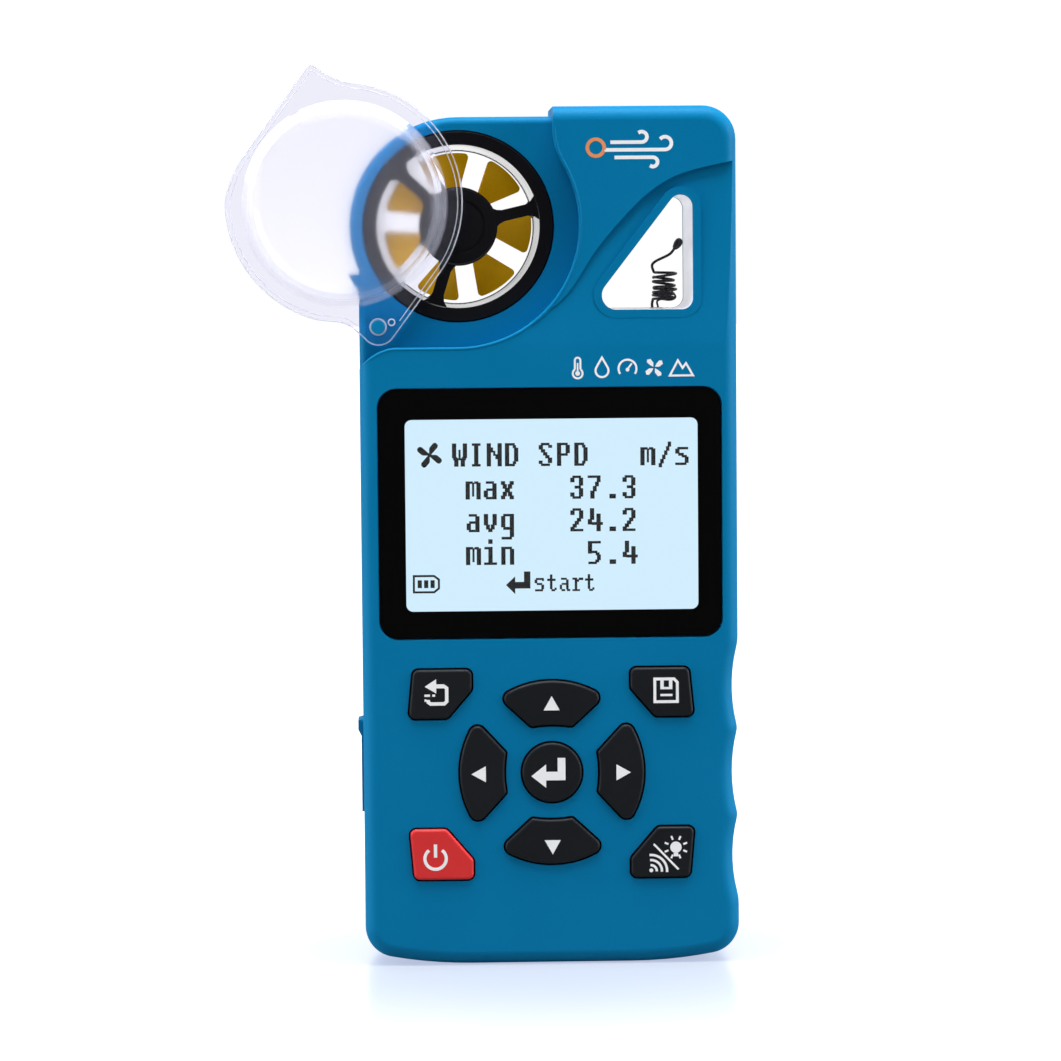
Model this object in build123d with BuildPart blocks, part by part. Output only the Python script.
from build123d import *
import math
import os

# Handheld weather meter: moulded two-part case, vane impeller in a through
# duct with a swing cover, coiled thermistor in a through window, display,
# nine keys, charging socket with a rubber flap, board and battery inside.
# Millimetres. X right, Z up, Y into the case. The face the user reads looks
# along -Y. Origin: centre of the standing foot at the bottom.

os.makedirs("parts", exist_ok=True)

# ---- driving dimensions -------------------------------------------------
W = 65.2                  # case width
H = 148.6                 # case height at the raised part
H_LOW = 146.9             # height beside the duct
Y_FRONT = -13.5           # front face
Y_BACK = 13.5             # rear face
WALL = 2.2                # general wall
Y_SPLIT = 0.0             # front shell ends here
GASKET_T = 0.8            # seal between the shells
R_CORNER = 5.8            # top right corner
R_FOOT = 5.5              # bottom corners
EDGE_R = 2.4              # rounding of the front edges
REC_Y = -9.0              # floor of the recess round the duct
REC_WALL = 1.8            # thickness of the recess floor
DUCT = (-15.3, 128.15)    # duct axis (X, Z)
DUCT_OUT = 16.55          # housing outer radius
DUCT_IN = 14.07           # duct radius at the mouth
DUCT_THROAT = 13.4        # duct radius at the rear
RIM_R = 18.85             # case rim round the duct
HUB_R = 6.8               # fixed hub
BLADES = 7
BLADE_R = 12.8
BLADE_GAP = 3.8           # parallel gap between neighbouring blades
PIVOT = (-29.28, 110.95)  # cover pivot (X, Z)
COVER_R = 20.65
COVER_OPEN = 53.7         # degrees the cover is swung open in the rest pose
TRAVEL = 0.5              # key travel
BOARD_F, BOARD_B = -6.4, -4.8   # faces of the main board
CLR = 0.3                 # clearance round moving pieces


def at(y):
    """Sketch plane seen from the front at depth y (its normal is -Y)."""
    return Plane.XZ.offset(-y)


def finish(builder, label):
    builder.part.label = label
    export_step(builder.part, "parts/" + label + ".step")
    print(label, round(builder.part.volume, 2), len(builder.part.solids()), builder.part.is_valid)


# ---- shared outlines (front view) ---------------------------------------
rise = 77.4 - math.sqrt(77.4**2 - (W / 2 - 14) ** 2)
groove = [(W / 2, 55.8), (W / 2 - 0.1, 40.8), (W / 2 - 0.1, 25.6), (W / 2, 11.0)]
with BuildSketch() as outline:
    with BuildLine():
        Line((-14, 0), (14, 0))
        TangentArc((14, 0), (W / 2, rise), tangent=(1, 0))
        Line((W / 2, rise), groove[3])
        ThreePointArc(groove[3], (W / 2 - 1.05, 18.4), groove[2])
        ThreePointArc(groove[2], (W / 2 - 1.1, 33.2), groove[1])
        ThreePointArc(groove[1], (W / 2 - 1.05, 48.2), groove[0])
        Line(groove[0], (W / 2, H))
        Line((W / 2, H), (-W / 2, H))
        Line((-W / 2, H), (-W / 2, rise))
        TangentArc((-14, 0), (-W / 2, rise), tangent=(-1, 0))
    make_face()
    fillet(outline.vertices().filter_by(lambda v: v.Y < 3 and abs(v.X) > 20), R_FOOT)
    fillet(outline.vertices().filter_by(lambda v: v.Y > 140), R_CORNER)
    fillet(outline.vertices().filter_by(lambda v: v.X > 20 and 20 < v.Y < 45), 3.0)
    fillet(outline.vertices().filter_by(lambda v: v.X > 20 and (10 < v.Y < 12 or 55 < v.Y < 57)), 8.0)

rec_c = (-15.45, 128.3)
rec_r = 21.0
a30 = math.radians(30)
wall_a = (rec_c[0] + rec_r * math.cos(a30), rec_c[1] + rec_r * math.sin(a30))
wall_turn = (wall_a[0] - 1.1) / (1 - math.cos(a30))
wall_b = (1.1, wall_a[1] + wall_turn * math.sin(a30))
with BuildSketch() as recess:
    with BuildLine():
        Line((1.1, 156), wall_b)
        TangentArc(wall_b, wall_a, tangent=(0, -1))
        ThreePointArc(wall_a, (rec_c[0] + rec_r * math.cos(math.radians(-30)), rec_c[1] + rec_r * math.sin(math.radians(-30))), (rec_c[0], rec_c[1] - rec_r))
        Line((rec_c[0], rec_c[1] - rec_r), (-26.8, rec_c[1] - rec_r))
        ThreePointArc((-26.8, rec_c[1] - rec_r), (-31.0, 105.45), (-33.2, 102.6))
        Line((-33.2, 102.6), (-42, 102.6))
        Line((-42, 102.6), (-42, 156))
        Line((-42, 156), (1.1, 156))
    make_face()

rim_z = DUCT[1] - math.sqrt(RIM_R**2 - (W / 2 + DUCT[0]) ** 2)
with BuildSketch() as low:
    with BuildLine():
        Line((-W / 2, 100), (-W / 2, rim_z))
        ThreePointArc((-W / 2, rim_z), (DUCT[0] - RIM_R, DUCT[1]), (DUCT[0], DUCT[1] + RIM_R))
        Line((DUCT[0], DUCT[1] + RIM_R), (4.5, DUCT[1] + RIM_R))
        Line((4.5, DUCT[1] + RIM_R), (9.5, 135))
        Line((9.5, 135), (9.5, 120))
        Line((9.5, 120), (-2, 100))
        Line((-2, 100), (-W / 2, 100))
    make_face()


def tri_points():
    return [(6.69, 113.6), (25.05, 113.6), (25.05, 137.35)]


with BuildSketch() as window:
    with BuildLine():
        Polyline(*tri_points(), close=True)
    make_face()
    fillet(window.vertices().filter_by(lambda v: v.X < 10), 2.5)
    fillet(window.vertices().filter_by(lambda v: v.Y > 130), 2.1)
    fillet(window.vertices().filter_by(lambda v: v.X > 20 and v.Y < 120), 1.9)

# key openings -------------------------------------------------------------
ENTER = (0.05, 33.6)


def corner_key(sx, top):
    if top:
        pts = [(-24.15, 52.0), (-25.05, 42.85), (-17.9, 42.85), (-13.45, 48.0), (-13.45, 52.0)]
    else:
        pts = [(-25.05, 24.2), (-24.2, 14.75), (-13.4, 14.75), (-13.4, 18.6), (-18.2, 24.2)]
    return [(sx * x * -1, y) for x, y in pts]


def round_poly(pts, radius):
    with BuildSketch() as sk:
        with BuildLine():
            Polyline(*pts, close=True)
        make_face()
        fillet(sk.vertices(), radius)
    return sk


def nav_pad(angle):
    """Arc-backed pad above the enter key, turned by angle about it."""
    with BuildSketch() as sk:
        with BuildLine() as bl:
            a = math.radians(90 - 36.2)
            p, q = (16.3 * math.cos(a), 16.3 * math.sin(a)), (-16.3 * math.cos(a), 16.3 * math.sin(a))
            ThreePointArc(q, (0, 16.3), p)
            Line(p, (3.6, 7.6))
            ThreePointArc((3.6, 7.6), (0, 7.95), (-3.6, 7.6))
            Line((-3.6, 7.6), q)
        make_face()
        fillet(sk.vertices().filter_by(lambda v: v.Y > 9), 1.7)
        fillet(sk.vertices().filter_by(lambda v: v.Y < 9), 0.9)
    return Pos(ENTER[0], ENTER[1]) * (Rot(0, 0, angle) * sk.sketch)


with BuildSketch() as enter_sk:
    with Locations(ENTER):
        Circle(5.5)

key_shapes = {
    "key_escape": round_poly(corner_key(-1, True), 1.35).sketch,
    "key_save": round_poly(corner_key(1, True), 1.35).sketch,
    "key_power": round_poly(corner_key(-1, False), 1.35).sketch,
    "key_light": round_poly(corner_key(1, False), 1.35).sketch,
    "key_up": nav_pad(0),
    "key_left": nav_pad(90),
    "key_down": nav_pad(180),
    "key_right": nav_pad(270),
    "key_enter": enter_sk.sketch,
}
key_centres = {
    "key_escape": (-19.6, 47.6), "key_save": (19.6, 47.6), "key_power": (-19.8, 19.4), "key_light": (19.8, 19.4),
    "key_up": (0.05, 45.3), "key_down": (0.05, 21.9), "key_left": (-11.65, 33.6), "key_right": (11.75, 33.6),
    "key_enter": ENTER,
}

# fixed positions ------------------------------------------------------------
BOSSES = [(-26.4, 8.2), (26.4, 8.2), (-27.0, 102.4), (26.6, 140.6)]
BOARD_SCREWS = [(-26.9, 55.9), (26.9, 55.9), (-10.6, 11.2), (10.6, 11.2), (-8.0, 101.9), (20.0, 101.9)]
LENS = (0.12, 78.6)
LCD = (0.4, 78.3)

# ---- front shell -----------------------------------------------------------
with BuildPart() as sink_cut:
    with BuildSketch(at(-12.2)):
        with BuildLine():
            Spline((-6.1, 109.4), (-2.1, 112.0), (3.3, 116.4), (7.66, 122.9), (12.2, 128.5), (16.5, 132.9), (21.0, 136.0), (27.5, 138.1), (34.5, 139.6))
            Line((34.5, 139.6), (34.5, 106.0))
            Line((34.5, 106.0), (-6.1, 106.0))
            Line((-6.1, 106.0), (-6.1, 109.4))
        make_face()
    extrude(amount=4)
    tilt = math.degrees(math.atan2(0.72, 30.0))
    split(bisect_by=Plane(origin=(0, Y_FRONT, 107.6), x_dir=(1, 0, 0), z_dir=(0, -math.cos(math.radians(tilt)), math.sin(math.radians(tilt)))), keep=Keep.TOP)

with BuildPart() as rim_body:
    with BuildSketch(at(Y_SPLIT)):
        add(low.sketch)
    extrude(amount=Y_SPLIT - REC_Y)
    rim_edges = rim_body.faces().sort_by(Axis.Y)[0].edges().filter_by(lambda e: e.center().X < -W / 2 + 0.1 or e.center().Z > 140 or (e.geom_type == GeomType.CIRCLE))
    rim_edges = rim_edges.filter_by(lambda e: e.center().X < 4 and e.center().Z > 105)
    fillet(rim_edges, 1.25)

with BuildPart() as shell_core:
    with BuildSketch(at(Y_SPLIT)):
        add(outline.sketch)
    extrude(amount=Y_SPLIT - Y_FRONT)
    fillet(shell_core.faces().sort_by(Axis.Y)[0].edges(), EDGE_R)
    with BuildSketch(at(Y_SPLIT)):
        add(recess.sketch)
    extrude(amount=20, mode=Mode.SUBTRACT)

with BuildPart() as front_shell:
    add(shell_core.part)
    add(rim_body.part)
    add(sink_cut.part, mode=Mode.SUBTRACT)
    # lip round the sensor window
    with BuildSketch(at(-12.0)):
        add(window.sketch)
        offset(amount=1.4)
    extrude(amount=1.42)
    # cavity behind the raised face
    with BuildSketch(at(Y_SPLIT)):
        add(outline.sketch)
        offset(amount=-WALL)
        with BuildSketch(mode=Mode.PRIVATE) as grown:
            add(recess.sketch)
            offset(amount=REC_WALL)
        add(grown.sketch, mode=Mode.SUBTRACT)
        with BuildSketch(mode=Mode.PRIVATE) as lining:
            add(window.sketch)
            offset(amount=2.3)
        add(lining.sketch, mode=Mode.SUBTRACT)
    extrude(amount=Y_SPLIT - (Y_FRONT + WALL), mode=Mode.SUBTRACT)
    # cavity behind the recess floor, outside the duct wall
    with BuildSketch(at(Y_SPLIT)):
        with BuildLine():
            Polyline((-W / 2 + WALL, 103), (-W / 2 + WALL, 113.6), (-20, 113.6), (-5, 113.6), (2.5, 118), (6.6, 118), (6.6, 111), (2, 103), close=True)
        make_face()
        with Locations(DUCT):
            Circle(18.75, mode=Mode.SUBTRACT)
        with BuildSketch(mode=Mode.PRIVATE) as lining2:
            add(window.sketch)
            offset(amount=2.3)
        add(lining2.sketch, mode=Mode.SUBTRACT)
    extrude(amount=Y_SPLIT - (REC_Y + REC_WALL), mode=Mode.SUBTRACT)
    # duct bore with a shoulder for the housing
    with BuildSketch(at(Y_SPLIT)):
        with Locations(DUCT):
            Circle(DUCT_OUT + 0.05)
    extrude(amount=20, mode=Mode.SUBTRACT)
    with BuildSketch(at(Y_SPLIT)):
        with Locations(DUCT):
            Circle(17.75)
    extrude(amount=6.5, mode=Mode.SUBTRACT)
    # sensor window through the lip, and the seat of its liner
    with BuildSketch(at(Y_SPLIT)):
        add(window.sketch)
    extrude(amount=20, mode=Mode.SUBTRACT)
    with BuildSketch(at(Y_SPLIT)):
        add(window.sketch)
        offset(amount=1.05)
    extrude(amount=11.9, mode=Mode.SUBTRACT)
    # display pad, pocket and opening
    with BuildSketch(at(-10.5)):
        with Locations(LCD):
            RectangleRounded(60.6, 43.2, 2)
    extrude(amount=1.0)
    with BuildSketch(at(-12.2)):
        with Locations(LENS):
            RectangleRounded(59.6, 43.6, 3.4)
    extrude(amount=5, mode=Mode.SUBTRACT)
    with BuildSketch(at(-5)):
        with Locations(LCD):
            RectangleRounded(55.2, 37.6, 1)
    extrude(amount=12, mode=Mode.SUBTRACT)
    # key openings
    with BuildSketch(at(-10)):
        for name in key_shapes:
            add(key_shapes[name])
    extrude(amount=8, mode=Mode.SUBTRACT)
    # case screw bosses
    with BuildSketch(at(Y_SPLIT)):
        with Locations(*BOSSES):
            Circle(3.1)
    extrude(amount=Y_SPLIT - (Y_FRONT + WALL))
    with BuildSketch(at(Y_SPLIT)):
        with Locations(*BOSSES):
            Circle(1.9)
    extrude(amount=6.0, mode=Mode.SUBTRACT)
    # board bosses
    with BuildSketch(at(BOARD_F)):
        with Locations(*BOARD_SCREWS):
            Circle(2.0)
    extrude(amount=BOARD_F - (Y_FRONT + WALL))
    with BuildSketch(at(BOARD_F)):
        with Locations(*BOARD_SCREWS):
            Circle(0.8)
    extrude(amount=4.0, mode=Mode.SUBTRACT)
    # cover pivot boss behind the recess floor, its bore, and the detent dimple
    with BuildSketch(at(-3.0)):
        with Locations(PIVOT):
            Circle(2.6)
    extrude(amount=5)
    with BuildSketch(at(-5.0)):
        with Locations(PIVOT):
            Circle(0.9)
    extrude(amount=6, mode=Mode.SUBTRACT)
    # socket opening and flap pocket in the left wall
    with BuildSketch(Plane.YZ.offset(-W / 2 - 1)):
        with Locations((-3.7, 34.3)):
            RectangleRounded(7.0, 16.6, 0.6)
    extrude(amount=2.1, mode=Mode.SUBTRACT)
    with BuildSketch(Plane.YZ.offset(-W / 2 - 1)):
        with Locations((-3.2, 34.0)):
            RectangleRounded(3.9, 9.8, 1.2)
    extrude(amount=5, mode=Mode.SUBTRACT)
    # seat of the thermistor base
    with BuildSketch(at(Y_SPLIT)):
        with Locations((19.4, 110.9)):
            Rectangle(6.6, 3.6)
    extrude(amount=2.8, mode=Mode.SUBTRACT)
    # thumb lug at the left of the duct
    with BuildSketch(at(-4.0)):
        with BuildLine():
            Polyline((-34.35, 119.9), (-31.2, 120.1), (-31.2, 114.6), (-32.4, 116.2), close=True)
        make_face()
    extrude(amount=4.6)
finish(front_shell, "front_shell")

# ---- rear shell --------------------------------------------------------------
Y_REAR0 = Y_SPLIT + GASKET_T
with BuildPart() as rear_rim:
    with BuildSketch(at(Y_BACK)):
        add(low.sketch)
    extrude(amount=Y_BACK - Y_REAR0)
    rr_edges = rear_rim.faces().sort_by(Axis.Y)[-1].edges().filter_by(lambda e: e.center().X < -W / 2 + 0.1 or e.center().Z > 140 or (e.geom_type == GeomType.CIRCLE))
    rr_edges = rr_edges.filter_by(lambda e: e.center().X < 4 and e.center().Z > 105)
    fillet(rr_edges, 1.25)

with BuildPart() as rear_shell:
    with BuildSketch(at(Y_BACK)):
        add(outline.sketch)
    extrude(amount=Y_BACK - Y_REAR0)
    fillet(rear_shell.faces().sort_by(Axis.Y)[-1].edges(), 2.6)
    with BuildSketch(at(Y_BACK + 1)):
        add(recess.sketch)
    extrude(amount=20, mode=Mode.SUBTRACT)
    add(rear_rim.part)
    # cavity
    with BuildSketch(at(Y_BACK - WALL)):
        add(outline.sketch)
        offset(amount=-WALL)
        with BuildSketch(mode=Mode.PRIVATE) as r_corner:
            with BuildLine():
                Polyline((-40, 104.0), (-24, 113.0), (4.0, 113.0), (4.0, 118), (9.0, 140), (-2, 160), (-40, 160), close=True)
            make_face()
        add(r_corner.sketch, mode=Mode.SUBTRACT)
        with Locations(DUCT):
            Circle(18.6, mode=Mode.SUBTRACT)
        with BuildSketch(mode=Mode.PRIVATE) as r_lining:
            add(window.sketch)
            offset(amount=2.3)
        add(r_lining.sketch, mode=Mode.SUBTRACT)
    extrude(amount=Y_BACK - WALL - Y_REAR0, mode=Mode.SUBTRACT)
    # duct bore with a rear lip
    with BuildSketch(at(12.75)):
        with Locations(DUCT):
            Circle(DUCT_OUT + 0.05)
    extrude(amount=20, mode=Mode.SUBTRACT)
    with BuildSketch(at(Y_BACK + 1)):
        with Locations(DUCT):
            Circle(15.6)
    extrude(amount=20, mode=Mode.SUBTRACT)
    # sensor window and liner seat
    with BuildSketch(at(Y_BACK + 1)):
        add(window.sketch)
    extrude(amount=20, mode=Mode.SUBTRACT)
    with BuildSketch(at(11.9)):
        add(window.sketch)
        offset(amount=1.05)
    extrude(amount=20, mode=Mode.SUBTRACT)
    # case screw bosses with counterbored holes
    with BuildSketch(at(Y_BACK - WALL)):
        with Locations(*BOSSES):
            Circle(3.5)
    extrude(amount=Y_BACK - WALL - Y_REAR0)
    with BuildSketch(at(Y_BACK + 1)):
        with Locations(*BOSSES):
            Circle(1.35)
    extrude(amount=20, mode=Mode.SUBTRACT)
    with BuildSketch(at(Y_BACK + 1)):
        with Locations(*BOSSES):
            Circle(2.5)
    extrude(amount=4.2, mode=Mode.SUBTRACT)
    # seat of the thermistor base
    with BuildSketch(at(2.8)):
        with Locations((19.4, 110.9)):
            Rectangle(6.6, 3.6)
    extrude(amount=4, mode=Mode.SUBTRACT)
finish(rear_shell, "rear_shell")

# ---- seal between the shells ---------------------------------------------------
with BuildPart() as case_seal:
    with BuildSketch(at(Y_REAR0)):
        add(outline.sketch)
        offset(amount=-0.55)
        with BuildSketch(mode=Mode.PRIVATE) as s_in:
            add(outline.sketch)
            offset(amount=-2.0)
        add(s_in.sketch, mode=Mode.SUBTRACT)
        with BuildSketch(mode=Mode.PRIVATE) as s_rec:
            add(recess.sketch)
        add(s_rec.sketch, mode=Mode.SUBTRACT)
        with BuildSketch(mode=Mode.PRIVATE) as s_arc:
            add(low.sketch)
            offset(amount=-0.55)
            with BuildSketch(mode=Mode.PRIVATE) as s_arc_in:
                with Locations(DUCT):
                    Circle(16.9)
                Rectangle(100, 22, align=(Align.CENTER, Align.MIN), mode=Mode.ADD)
                with BuildLine():
                    Polyline((-W / 2 + 2.0, 90), (-W / 2 + 2.0, 113), (-20, 120), (1, 125), (3, 144.9), (12, 144.9), (12, 90), close=True)
                make_face()
            add(s_arc_in.sketch, mode=Mode.SUBTRACT)
        add(s_arc.sketch)
    extrude(amount=GASKET_T)
finish(case_seal, "case_seal")

# ---- fasteners -------------------------------------------------------------------
with BuildPart() as threaded_inserts:
    with BuildSketch(at(-0.2)):
        with Locations(*BOSSES):
            Circle(1.9)
            Circle(1.1, mode=Mode.SUBTRACT)
    extrude(amount=5.0)
finish(threaded_inserts, "threaded_inserts")

with BuildPart() as case_screws:
    with BuildSketch(at(12.2)):
        with Locations(*BOSSES):
            Circle(2.25)
    extrude(amount=1.9)
    with BuildSketch(at(10.3)):
        with Locations(*BOSSES):
            Circle(1.05)
    extrude(amount=15.0)
    with BuildSketch(at(12.2)):
        with Locations(*BOSSES):
            RegularPolygon(1.0, 6)
    extrude(amount=1.0, mode=Mode.SUBTRACT)
finish(case_screws, "case_screws")

with BuildPart() as board_screws:
    with BuildSketch(at(BOARD_B + 1.3)):
        with Locations(*BOARD_SCREWS):
            Circle(1.75)
    extrude(amount=1.3)
    with BuildSketch(at(BOARD_B)):
        with Locations(*BOARD_SCREWS):
            Circle(0.75)
    extrude(amount=4.8)
finish(board_screws, "board_screws")

# ---- display stack -----------------------------------------------------------------
with BuildPart() as display_lens:
    with BuildSketch(at(-12.4)):
        with Locations(LENS):
            RectangleRounded(59.3, 43.3, 3.3)
    extrude(amount=0.95)
    chamfer(display_lens.faces().sort_by(Axis.Y)[0].edges(), 0.2)
finish(display_lens, "display_lens")

with BuildPart() as display_mask:
    with BuildSketch(at(-12.2)):
        with Locations(LENS):
            RectangleRounded(59.3, 43.3, 3.3)
        with Locations(LCD):
            RectangleRounded(50.6, 33.2, 1.2, mode=Mode.SUBTRACT)
    extrude(amount=0.2)
finish(display_mask, "display_mask")

with BuildPart() as lcd_panel:
    with BuildSketch(at(-10.4)):
        with Locations(LCD):
            Rectangle(54.6, 37.0)
    extrude(amount=1.7)
finish(lcd_panel, "lcd_panel")

with BuildPart() as lcd_backlight:
    with BuildSketch(at(-8.6)):
        with Locations(LCD):
            Rectangle(54.6, 37.0)
    extrude(amount=1.8)
finish(lcd_backlight, "lcd_backlight")

with BuildPart() as lcd_holder:
    with BuildSketch(at(-6.9)):
        with Locations(LCD):
            RectangleRounded(58.0, 39.8, 1)
    extrude(amount=3.5)
    with BuildSketch(at(-8.6)):
        with Locations(LCD):
            Rectangle(54.8, 37.2)
    extrude(amount=4, mode=Mode.SUBTRACT)
    with BuildSketch(at(BOARD_F)):
        with Locations((LCD[0] - 24, LCD[1] - 14), (LCD[0] + 24, LCD[1] - 14), (LCD[0] - 24, LCD[1] + 14), (LCD[0] + 24, LCD[1] + 14)):
            Circle(1.5)
    extrude(amount=0.5)
finish(lcd_holder, "lcd_holder")

# ---- keys ------------------------------------------------------------------------------
with BuildPart() as keypad_mat:
    with BuildSketch(at(-8.2)):
        with Locations((0, 34.0)):
            RectangleRounded(51.0, 40.6, 3)
        with Locations(*key_centres.values()):
            Circle(2.0, mode=Mode.SUBTRACT)
    extrude(amount=0.8)
    with BuildSketch(at(BOARD_F)):
        with Locations((-23, 33.6), (23, 33.6), (-9.5, 51), (9.5, 51), (-9.5, 15.4), (9.5, 15.4)):
            Circle(1.4)
    extrude(amount=1.8)
finish(keypad_mat, "keypad_mat")

for key_name, shape in key_shapes.items():
    with BuildPart() as key:
        with BuildSketch(at(-11.0)):
            add(shape)
            offset(amount=-CLR)
        extrude(amount=3.05)
        fillet(key.faces().sort_by(Axis.Y)[0].edges(), 0.5)
        with BuildSketch(at(-10.2)):
            add(shape)
            offset(amount=0.45)
        extrude(amount=0.8)
        with BuildSketch(at(-7.3)):
            with Locations(key_centres[key_name]):
                Circle(1.5)
        extrude(amount=3.0)
    finish(key, key_name)

with BuildPart() as snap_domes:
    with BuildSketch(at(BOARD_F)):
        with Locations(*key_centres.values()):
            Circle(2.6)
    extrude(amount=0.32, taper=45)
finish(snap_domes, "snap_domes")

# ---- board and what it carries -------------------------------------------------------------
with BuildPart() as main_board:
    with BuildSketch(at(BOARD_B)):
        with Locations((-0.8, 56.4)):
            Rectangle(58.4, 95.2)
        with Locations((-27.0, 102.4)):
            Circle(4.4, mode=Mode.SUBTRACT)
        with Locations((-26.4, 8.2), (26.4, 8.2)):
            Circle(4.4, mode=Mode.SUBTRACT)
        with Locations(*BOARD_SCREWS):
            Circle(0.95, mode=Mode.SUBTRACT)
    extrude(amount=BOARD_B - BOARD_F)
finish(main_board, "main_board")

with BuildPart() as board_chips:
    for (cx, cz, bx, bz, t) in [(0, 78, 12, 12, 1.4), (16, 80, 6, 5, 1.2), (-16, 88, 7, 4, 1.2), (18, 92, 4, 3, 1.0), (-18, 68, 5, 5, 1.0)]:
        with BuildSketch(at(BOARD_B + t)):
            with Locations((cx, cz)):
                Rectangle(bx, bz)
        extrude(amount=t)
finish(board_chips, "board_chips")

with BuildPart() as pressure_sensor:
    with BuildSketch(at(BOARD_B + 1.4)):
        with Locations((6, 92)):
            Rectangle(5, 5)
    extrude(amount=1.4)
    with BuildSketch(at(BOARD_B + 2.6)):
        with Locations((6, 92)):
            Circle(1.6)
            Circle(0.6, mode=Mode.SUBTRACT)
    extrude(amount=1.2)
finish(pressure_sensor, "pressure_sensor")

with BuildPart() as buzzer:
    with BuildSketch(at(BOARD_B + 3.2)):
        with Locations((-6, 94)):
            Circle(4.6)
            Circle(0.8, mode=Mode.SUBTRACT)
    extrude(amount=3.2)
finish(buzzer, "buzzer")

with BuildPart() as usb_socket:
    with BuildSketch(Plane.YZ.offset(-30.25)):
        with Locations((-3.2, 34.0)):
            RectangleRounded(3.2, 9.0, 1.4)
            RectangleRounded(2.5, 8.3, 1.1, mode=Mode.SUBTRACT)
    extrude(amount=7.4)
    with BuildSketch(Plane.YZ.offset(-23.85)):
        with Locations((-3.2, 34.0)):
            RectangleRounded(2.6, 8.4, 1.1)
    extrude(amount=1.0)
    with BuildSketch(Plane.YZ.offset(-29.4)):
        with Locations((-3.2, 34.0)):
            Rectangle(0.7, 6.6)
    extrude(amount=5.6)
finish(usb_socket, "usb_socket")

with BuildPart() as usb_flap:
    with BuildSketch(Plane.YZ.offset(-W / 2 - 0.4)):
        with Locations((-3.7, 34.3)):
            RectangleRounded(6.6, 16.2, 0.5)
    extrude(amount=1.4)
    with BuildSketch(Plane.YZ.offset(-31.7)):
        with Locations((-3.2, 34.0)):
            RectangleRounded(3.1, 9.0, 0.9)
            RectangleRounded(1.7, 7.6, 0.5, mode=Mode.SUBTRACT)
    extrude(amount=1.1)
    # pull tab
    with BuildSketch(at(-0.7)):
        with BuildLine():
            Polyline((-W / 2 - 0.2, 42.4), (-W / 2 - 0.95, 42.2), (-W / 2 - 0.95, 40.6), (-W / 2 - 0.35, 39.4), (-W / 2 - 0.2, 39.4), close=True)
        make_face()
    extrude(amount=6.0)
finish(usb_flap, "usb_flap")

with BuildPart() as battery_pack:
    with BuildSketch(at(9.4)):
        with Locations((0, 40)):
            RectangleRounded(36, 52, 2)
    extrude(amount=7.0)
    fillet(battery_pack.edges().filter_by(lambda e: abs(e.center().Y - 9.4) < 0.01 or abs(e.center().Y - 2.4) < 0.01), 0.8)
finish(battery_pack, "battery_pack")

with BuildPart() as battery_pad:
    with BuildSketch(at(Y_BACK - WALL)):
        with Locations((0, 40)):
            Rectangle(30, 44)
    extrude(amount=Y_BACK - WALL - 9.4)
finish(battery_pad, "battery_pad")

# ---- vane impeller unit ----------------------------------------------------------------------
SPOKES = [13.0, 137.0, 253.0]
duct_pos = (DUCT[0], 0, DUCT[1])
axis_pl = Plane(origin=duct_pos, x_dir=(1, 0, 0), z_dir=(0, -1, 0))


def duct_at(y):
    return Plane(origin=(DUCT[0], y, DUCT[1]), x_dir=(1, 0, 0), z_dir=(0, -1, 0))


def spoke_sketch(r_in, r_out, half, flare):
    """Three spokes with flared roots, centred on the duct axis."""
    with BuildSketch() as sk:
        for ang in SPOKES:
            a = math.radians(ang)
            with BuildSketch(mode=Mode.PRIVATE) as one:
                with BuildLine():
                    Polyline((r_in, -half - flare), (r_in + flare, -half - 0.25), (r_in + 2 * flare, -half), (r_out - 2 * flare, -half), (r_out - flare * 0.9, -half - 0.35), (r_out, -half - flare * 1.25), (r_out + 1, -half - flare * 1.25),
                             (r_out + 1, half + flare * 1.25), (r_out, half + flare * 1.25), (r_out - flare * 0.9, half + 0.35), (r_out - 2 * flare, half), (r_in + 2 * flare, half), (r_in + flare, half + 0.25), (r_in, half + flare), close=True)
                make_face()
            add(Rot(0, 0, ang) * one.sketch)
    return sk.sketch


with BuildPart() as vane_housing:
    with BuildSketch(Plane(origin=duct_pos, x_dir=(1, 0, 0), z_dir=(0, 0, 1))):
        with BuildLine():
            Polyline((DUCT_OUT - 0.05, 12.65), (DUCT_OUT - 0.05, -5.0), (17.6, -5.0), (17.6, -6.45), (DUCT_OUT - 0.05, -6.45), (DUCT_OUT - 0.05, -8.8), (DUCT_OUT - 0.3, -9.1), (DUCT_IN + 0.15, -9.1),
                     (DUCT_IN, -8.9), (13.55, 8.95), (14.9, 8.95), (14.9, 12.65), close=True)
        make_face()
    revolve(axis=Axis(duct_pos, (0, 1, 0)), revolution_arc=360)
    with BuildSketch(duct_at(-7.5)):
        add(spoke_sketch(6.2, 13.95, 1.0, 0.9))
        Circle(HUB_R)
    extrude(amount=1.4)
    with BuildSketch(Plane(origin=duct_pos, x_dir=(1, 0, 0), z_dir=(0, 0, 1))):
        with BuildLine():
            Polyline((0, -7.0), (HUB_R, -7.0), (HUB_R, -8.7), (HUB_R - 0.12, -8.98), (HUB_R - 0.4, -9.1), (4.75, -9.1), (4.6, -8.8), (4.35, -8.8), (4.2, -9.05), (0, -9.05), close=True)
        make_face()
    revolve(axis=Axis(duct_pos, (0, 1, 0)), revolution_arc=360)
    with BuildSketch(duct_at(-7.0)):
        Circle(1.25)
    extrude(amount=1.4, mode=Mode.SUBTRACT)
finish(vane_housing, "vane_housing")

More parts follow.
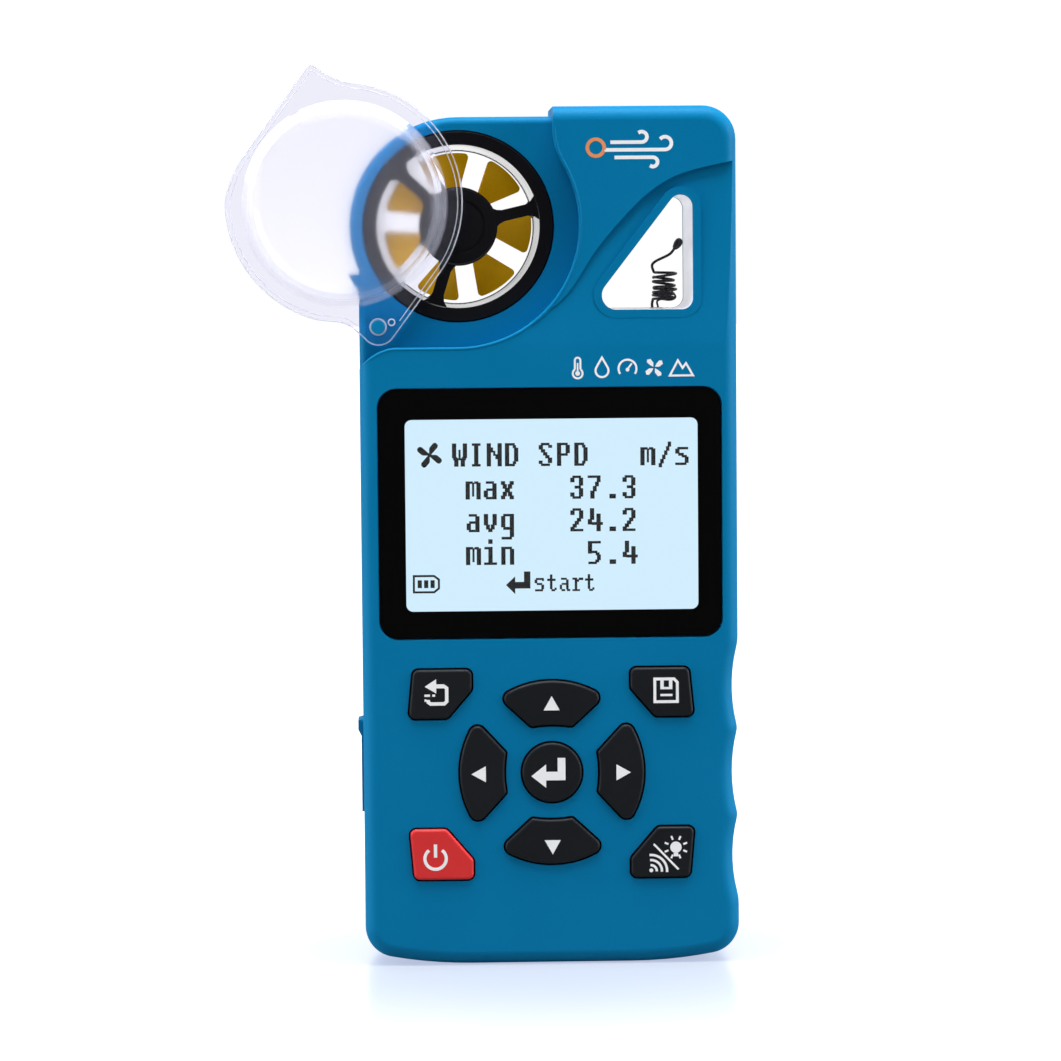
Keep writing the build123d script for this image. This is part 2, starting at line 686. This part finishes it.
with BuildPart() as vane_bridge:
    with BuildSketch(duct_at(12.6)):
        Circle(14.85)
        Circle(13.45, mode=Mode.SUBTRACT)
    extrude(amount=3.6)
    with BuildSketch(duct_at(11.4)):
        add(spoke_sketch(4.6, 13.6, 0.85, 0.7))
        Circle(5.4)
    extrude(amount=1.6)
    with BuildSketch(duct_at(11.4)):
        Circle(5.4)
    extrude(amount=9.6)
    with BuildSketch(duct_at(1.8)):
        Circle(1.25)
    extrude(amount=-1.4, mode=Mode.SUBTRACT)
    with BuildSketch(duct_at(1.8)):
        with Locations((3.2, 0)):
            Rectangle(1.9, 2.7)
    extrude(amount=-1.3, mode=Mode.SUBTRACT)
    with BuildSketch(duct_at(11.4)):
        Circle(4.2)
    extrude(amount=6.0, mode=Mode.SUBTRACT)
finish(vane_bridge, "vane_bridge")

with BuildPart() as vane_bearings:
    with BuildSketch(duct_at(-7.0)):
        Circle(1.25)
        Circle(0.54, mode=Mode.SUBTRACT)
    extrude(amount=1.4)
    with BuildSketch(duct_at(3.2)):
        Circle(1.25)
        Circle(0.54, mode=Mode.SUBTRACT)
    extrude(amount=1.4)
finish(vane_bearings, "vane_bearings")

with BuildPart() as impeller_shaft:
    with BuildSketch(duct_at(3.0)):
        Circle(0.5)
    extrude(amount=11.2)
finish(impeller_shaft, "impeller_shaft")

blade_pitch = 24.0
tan_b = math.tan(math.pi / BLADES)
off_b = (BLADE_GAP / 2) / math.cos(math.pi / BLADES)
with BuildPart() as blade:
    for i, r in enumerate((4.4, 13.6)):
        half = max(r * tan_b - off_b, 0.28)
        chord = 2 * half / math.cos(math.radians(blade_pitch))
        with BuildSketch(Plane(origin=(r, 0, 0), x_dir=(0, math.cos(math.radians(blade_pitch)), math.sin(math.radians(blade_pitch))), z_dir=(1, 0, 0))):
            Rectangle(chord, 0.7)
    loft()
    with BuildSketch(Plane.XY.offset(-6)):
        Circle(BLADE_R)
    extrude(amount=12, mode=Mode.INTERSECT)
    rim = blade.edges().filter_by(lambda e: math.hypot(e.center().X, e.center().Y) > 12.0 and abs(e.length - 0.7) < 0.4)
    fillet(rim, 0.7)

with BuildPart() as impeller:
    with BuildSketch(duct_at(-0.9)):
        Circle(5.2)
    extrude(amount=5.8)
    fillet(impeller.edges().filter_by(lambda e: abs(e.center().Y + 6.7) < 0.02), 0.6)
    for k in range(BLADES):
        ang = -4.5 + k * 360.0 / BLADES
        add(Plane(origin=(DUCT[0], -3.6, DUCT[1]), x_dir=(math.cos(math.radians(ang)), 0, math.sin(math.radians(ang))), z_dir=(0, -1, 0)).location * blade.part)
    with BuildSketch(duct_at(2)):
        Circle(0.5)
    extrude(amount=10, mode=Mode.SUBTRACT)
    with BuildSketch(duct_at(-0.9)):
        Circle(3.6)
        Circle(1.4, mode=Mode.SUBTRACT)
    extrude(amount=1.6, mode=Mode.SUBTRACT)
finish(impeller, "impeller")

with BuildPart() as impeller_magnet:
    with BuildSketch(duct_at(-0.4)):
        Circle(3.6)
        Circle(1.4, mode=Mode.SUBTRACT)
    extrude(amount=2.1)
finish(impeller_magnet, "impeller_magnet")

with BuildPart() as pickup_sensor:
    with BuildSketch(duct_at(3.05)):
        with Locations((3.2, 0)):
            Rectangle(1.8, 2.6)
    extrude(amount=1.2)
finish(pickup_sensor, "pickup_sensor")

# ---- swing cover: drawn closed, then swung open about its pivot --------------------------------
with BuildSketch() as cover_outline:
    with BuildLine():
        gap = 0.32
        e_wall = (rec_c[0] + (rec_r - gap) * math.cos(a30), rec_c[1] + (rec_r - gap) * math.sin(a30))
        tip_r = (e_wall[0] - (1.1 - gap)) / (1 - math.cos(a30))
        e_top = (1.1 - gap, e_wall[1] + tip_r * math.sin(a30))
        bottom = rec_c[1] - (rec_r - gap)
        Line((1.1 - gap, 146.95), e_top)
        TangentArc(e_top, e_wall, tangent=(0, -1))
        ThreePointArc(e_wall, (rec_c[0] + (rec_r - gap) * math.cos(math.radians(-30)), rec_c[1] + (rec_r - gap) * math.sin(math.radians(-30))), (rec_c[0], bottom))
        Line((rec_c[0], bottom), (PIVOT[0], bottom))
        end_r = PIVOT[1] - bottom
        ThreePointArc((PIVOT[0], bottom), (PIVOT[0] - end_r * math.sin(math.radians(50)), PIVOT[1] - end_r * math.cos(math.radians(50))), (PIVOT[0] - end_r * 0.93, PIVOT[1] + 0.9))
        Spline((PIVOT[0] - end_r * 0.93, PIVOT[1] + 0.9), (-32.15, 115.3), (-34.65, 120.4), tangents=((0.05, 1), (-0.42, 0.9)))
        ThreePointArc((-34.65, 120.4), (DUCT[0] - COVER_R * math.cos(math.radians(15)), DUCT[1] + COVER_R * math.sin(math.radians(15))), (DUCT[0] - COVER_R * math.cos(math.radians(52)), DUCT[1] + COVER_R * math.sin(math.radians(52))))
        Spline((DUCT[0] - COVER_R * math.cos(math.radians(52)), DUCT[1] + COVER_R * math.sin(math.radians(52))), (-24.3, 146.1), (-19.5, 146.95), tangents=((0.79, 0.62), (1, 0)))
        Line((-19.5, 146.95), (1.1 - gap, 146.95))
    make_face()
    fillet(cover_outline.vertices().filter_by(lambda v: v.X > 0 and v.Y > 146), 0.9)

with BuildPart() as cover_closed:
    with BuildSketch(at(-9.45)):
        add(cover_outline.sketch)
    extrude(amount=1.2)
    # raised window: a shallow frosted cup standing out of the flange
    with BuildSketch(duct_at(-10.5)):
        Circle(17.7)
    extrude(amount=2.6, taper=38)
    with BuildSketch(duct_at(-9.4)):
        Circle(16.6)
    extrude(amount=2.6, taper=38, mode=Mode.SUBTRACT)
    # straight rib along the flat edge
    with BuildSketch(at(-10.5)):
        with Locations((-9.0, 144.0)):
            Rectangle(16.5, 0.8)
    extrude(amount=0.45)
    # pivot eye and detent pip
    with BuildSketch(at(-9.15)):
        with Locations(PIVOT):
            Circle(1.75)
    extrude(amount=2.2)
    detent = (PIVOT[0] + 2.5 * math.cos(math.radians(11 - COVER_OPEN)), PIVOT[1] + 2.5 * math.sin(math.radians(11 - COVER_OPEN)))
    with BuildSketch(at(-9.15)):
        with Locations(detent):
            Circle(0.7)
    extrude(amount=1.9)
    with BuildSketch(at(-9)):
        with Locations(PIVOT):
            Circle(0.97)
    extrude(amount=4, mode=Mode.SUBTRACT)

with BuildPart() as swing_cover:
    add(cover_closed.part.rotate(Axis((PIVOT[0], 0, PIVOT[1]), (0, -1, 0)), COVER_OPEN))
finish(swing_cover, "swing_cover")

with BuildPart() as cover_pivot:
    with BuildSketch(at(-5.1)):
        with Locations(PIVOT):
            Circle(0.9)
    extrude(amount=6.4)
    with BuildSketch(at(-11.45)):
        with Locations(PIVOT):
            Circle(1.15)
    extrude(amount=0.45)
    fillet(cover_pivot.faces().sort_by(Axis.Y)[0].edges(), 0.15)
finish(cover_pivot, "cover_pivot")

# ---- thermistor in the through window ------------------------------------------------------------
with BuildPart() as window_liner:
    with BuildSketch(at(11.85)):
        add(window.sketch)
        offset(amount=1.0)
        add(window.sketch, mode=Mode.SUBTRACT)
    extrude(amount=11.85 + 11.85)
    with BuildSketch(Plane.XY.offset(112.0)):
        with Locations((19.4, 0)):
            Circle(1.2)
    extrude(amount=3, mode=Mode.SUBTRACT)
finish(window_liner, "window_liner")

with BuildPart() as thermistor_base:
    with BuildSketch(Plane.XY.offset(110.2)):
        with Locations((19.4, 0)):
            RectangleRounded(6.0, 5.0, 0.6)
    extrude(amount=2.35)
    with BuildSketch(Plane.XY.offset(112.5)):
        with Locations((19.4, 0)):
            Circle(1.15)
    extrude(amount=1.3)
    with BuildSketch(Plane.XY.offset(111)):
        with Locations((19.0, 0), (19.8, 0)):
            Circle(0.3)
    extrude(amount=4, mode=Mode.SUBTRACT)
finish(thermistor_base, "thermistor_base")

COIL = (20.9, 115.9)
coil_r, wire_r, coil_p, coil_n = 1.95, 0.26, 1.2, 4
# each half turn is an arc in its own tilted plane; the arcs meet square to the
# side faces, so the wire runs on without a kink
with BuildPart() as coil:
    with BuildLine() as coil_path:
        for i in range(2 * coil_n):
            side = 1 if i % 2 == 0 else -1
            z_a, z_b = COIL[1] + i * coil_p / 2, COIL[1] + (i + 1) * coil_p / 2
            reach = ((2 * coil_r) ** 2 + (coil_p / 2) ** 2) ** 0.5 / 2
            ThreePointArc((COIL[0] - side * coil_r, 0, z_a), (COIL[0], -side * reach, (z_a + z_b) / 2), (COIL[0] + side * coil_r, 0, z_b))
    with BuildSketch(Plane(origin=(COIL[0] - coil_r, 0, COIL[1]), x_dir=(1, 0, 0), z_dir=(0, -1, 0))):
        Circle(wire_r)
    sweep(path=coil_path.wire())


def rod(p, q, radius):
    """Round wire between two points, as a part."""
    run = Vector(*q) - Vector(*p)
    with BuildPart(mode=Mode.PRIVATE) as r:
        with BuildSketch(Plane(origin=p, z_dir=run)):
            Circle(radius)
        extrude(amount=run.length)
    return r.part


left_x = COIL[0] - coil_r
top_z = COIL[1] + coil_p * coil_n
with BuildPart() as thermistor_lead:
    add(coil.part)
    add(rod((left_x, 0, 112.65), (left_x, 0, COIL[1]), 0.2))
    add(rod((left_x, 0, top_z), (left_x, 0, top_z + 0.5), 0.24))
    add(rod((left_x, 0, top_z + 0.5), (22.35, 0, 123.45), 0.24))
    with Locations((left_x, 0, COIL[1]), (left_x, 0, top_z), (left_x, 0, top_z + 0.5)):
        Sphere(0.27)
finish(thermistor_lead, "thermistor_lead")

with BuildPart() as thermistor_bead:
    add(rod((22.39, 0, 123.49), (23.1, 0, 124.75), 0.4))
    with Locations((23.15, 0, 124.85)):
        Sphere(0.72)
    add(rod((21.9, 0, 123.1), (22.36, 0, 123.46), 0.5), mode=Mode.SUBTRACT)
finish(thermistor_bead, "thermistor_bead")

with BuildPart() as sensor_board:
    with BuildSketch(at(2.6)):
        with Locations((16.0, 107.6)):
            Rectangle(19.0, 4.6)
    extrude(amount=1.2)
finish(sensor_board, "sensor_board")
